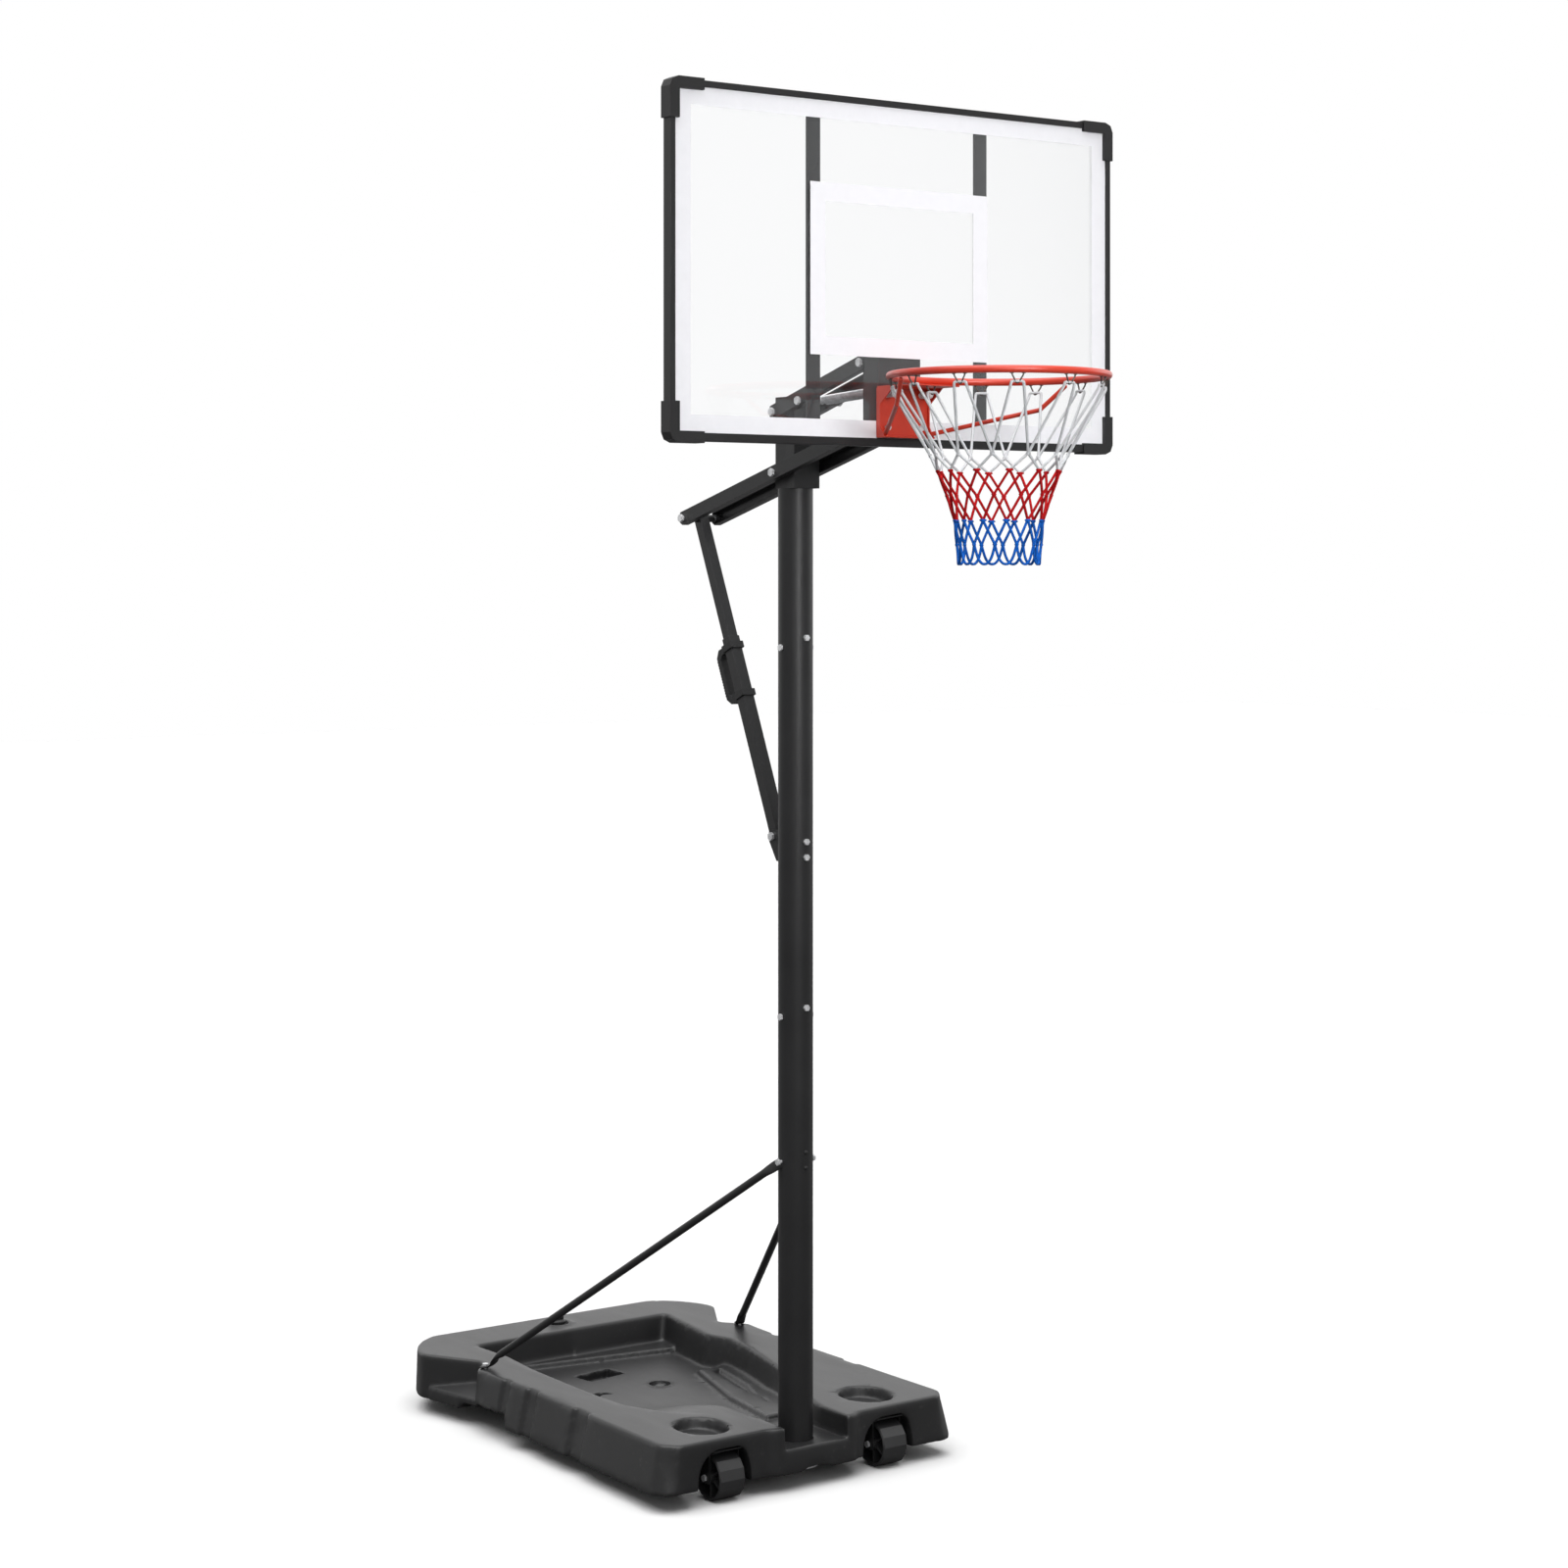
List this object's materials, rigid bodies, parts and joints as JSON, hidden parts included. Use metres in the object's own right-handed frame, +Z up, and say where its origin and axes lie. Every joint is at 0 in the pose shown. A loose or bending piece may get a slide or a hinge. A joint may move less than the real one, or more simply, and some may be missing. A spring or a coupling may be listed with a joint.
{
  "type": "portable basketball hoop",
  "caption": "Free-standing basketball hoop on a wheeled, water-filled base, with a height-adjusting linkage, a clear framed backboard and a sprung rim with a net.",
  "frame": {"origin": "on the floor, under the middle of the object's bounding box", "axes": "+Z up, -Y towards the player (the side with the rim), +X to the right seen from the playing side"},
  "size_m": [1.238, 2.118, 3.153],
  "materials": {
    "tank_plastic": "black blow-moulded polyethylene with a fine grain",
    "water": "clear water, sealed inside the tank",
    "cap_plastic": "black moulded plastic",
    "wheel_plastic": "black hard plastic with a light sheen",
    "black_steel": "black powder coat, satin",
    "zinc": "bright zinc plate",
    "spring_steel": "zinc-plated spring wire",
    "frame_black": "black powder-coated aluminium, satin",
    "corner_plastic": "black moulded plastic",
    "acrylic": "clear polished acrylic",
    "white_print": "white printed line",
    "rim_red": "orange-red powder coat, satin",
    "hook_wire": "dark red coated wire",
    "net_cord": "braided nylon cord in white, red and blue bands",
    "grip_plastic": "black moulded plastic"
  },
  "bodies": {
    "stand": {"base_tank": "tank_plastic", "ballast_water": "water", "wheel_fork_left": "black_steel", "wheel_fork_right": "black_steel", "wheel_axles": "zinc", "pole_foot_disc": "zinc", "pole_lower": "black_steel", "pole_middle": "black_steel", "pole_upper": "black_steel", "pole_joint_bolts": "zinc", "brace_left": "black_steel", "brace_right": "black_steel", "brace_bolts": "zinc", "head_bracket": "black_steel", "arm_pivot_bolts": "zinc", "strut_bracket": "black_steel", "strut_bracket_bolts": "zinc", "strut_foot_bolt": "zinc"},
    "wheel_left": {"wheel_left": "wheel_plastic"},
    "wheel_right": {"wheel_right": "wheel_plastic"},
    "filler_cap": {"filler_cap": "cap_plastic"},
    "upper_arms": {"upper_arm_left": "black_steel", "upper_arm_right": "black_steel", "spring_anchor_bolt": "zinc", "lift_spring_left": "spring_steel", "lift_spring_right": "spring_steel"},
    "lower_arms": {"lower_arm_left": "black_steel", "lower_arm_right": "black_steel", "strut_top_pins": "zinc"},
    "board": {"frame_rail_top": "frame_black", "frame_rail_bottom": "frame_black", "frame_rail_left": "frame_black", "frame_rail_right": "frame_black", "corner_caps": "corner_plastic", "backboard_panel": "acrylic", "border_line": "white_print", "target_line": "white_print", "frame_strip_left": "black_steel", "frame_strip_right": "black_steel", "board_bracket": "black_steel", "board_lower_bolt": "zinc", "board_upper_bolt": "zinc", "spring_hanger_pin": "zinc", "rim_back_plate": "rim_red", "rim_lower_bolts": "zinc", "rim_spring_bolts": "zinc", "rim_springs": "spring_steel"},
    "rim": {"rim_tray": "rim_red", "rim_ring": "rim_red", "rim_brace_left": "rim_red", "rim_brace_right": "rim_red", "net_hooks": "hook_wire", "net": "net_cord"},
    "strut_lower": {"strut_outer_tube": "black_steel", "height_grip": "grip_plastic", "trigger_pin": "zinc"},
    "strut_upper": {"strut_inner_tube": "black_steel", "strut_top_bush": "grip_plastic"},
    "trigger": {"height_trigger": "grip_plastic"}
  },
  "joints": [
    {"name": "lift", "type": "hinge", "parent": "stand", "child": "upper_arms", "pos_m": [0, -0.0645, 2.4775], "axis": [-1, 0, 0], "range_deg": [-15, 26]},
    {"name": "lower_arms_lift", "type": "hinge", "parent": "stand", "child": "lower_arms", "pos_m": [0, -0.0645, 2.337], "axis": [-1, 0, 0], "range_deg": [-15, 26]},
    {"name": "board_level", "type": "hinge", "parent": "upper_arms", "child": "board", "pos_m": [0, -0.40178, 2.57358], "axis": [-1, 0, 0], "range_deg": [-26, 15], "deforming": ["lift_spring_left", "lift_spring_right"]},
    {"name": "rim_break", "type": "hinge", "parent": "board", "child": "rim", "pos_m": [0, -0.485, 2.4056], "axis": [1, 0, 0], "range_deg": [0, 8], "stiffness_Nm_per_rad": 80, "springref_deg": -22.92, "deforming": ["rim_springs"]},
    {"name": "strut_swing", "type": "hinge", "parent": "stand", "child": "strut_lower", "pos_m": [0, -0.013, 1.48796], "axis": [-1, 0, 0], "range_deg": [-1, 1]},
    {"name": "strut_slide", "type": "slide", "parent": "strut_lower", "child": "strut_upper", "axis": [0, 0.3992, 0.9169], "range_m": [-0.1739, 0.1007]},
    {"name": "height_lever", "type": "hinge", "parent": "strut_lower", "child": "trigger", "pos_m": [0, 0.15068, 1.80825], "axis": [-1, 0, 0], "range_deg": [0, 8], "stiffness_Nm_per_rad": 0.8, "springref_deg": -8.59},
    {"name": "wheel_left_spin", "type": "hinge", "parent": "stand", "child": "wheel_left", "pos_m": [-0.232, -0.106, 0.054], "axis": [1, 0, 0], "continuous": true},
    {"name": "wheel_right_spin", "type": "hinge", "parent": "stand", "child": "wheel_right", "pos_m": [0.232, -0.106, 0.054], "axis": [1, 0, 0], "continuous": true},
    {"name": "filler_cap_turn", "type": "hinge", "parent": "stand", "child": "filler_cap", "pos_m": [0, 0.982, 0.15], "axis": [0, 0, 1], "continuous": true}
  ],
  "couplings": [
    {"joint": "lower_arms_lift", "follows": "lift", "ratio": 1},
    {"joint": "board_level", "follows": "lift", "ratio": -1},
    {"joint": "strut_swing", "follows": "lift", "ratio": 0.03},
    {"joint": "strut_slide", "follows": "lift", "m_per_rad": -0.381}
  ]
}
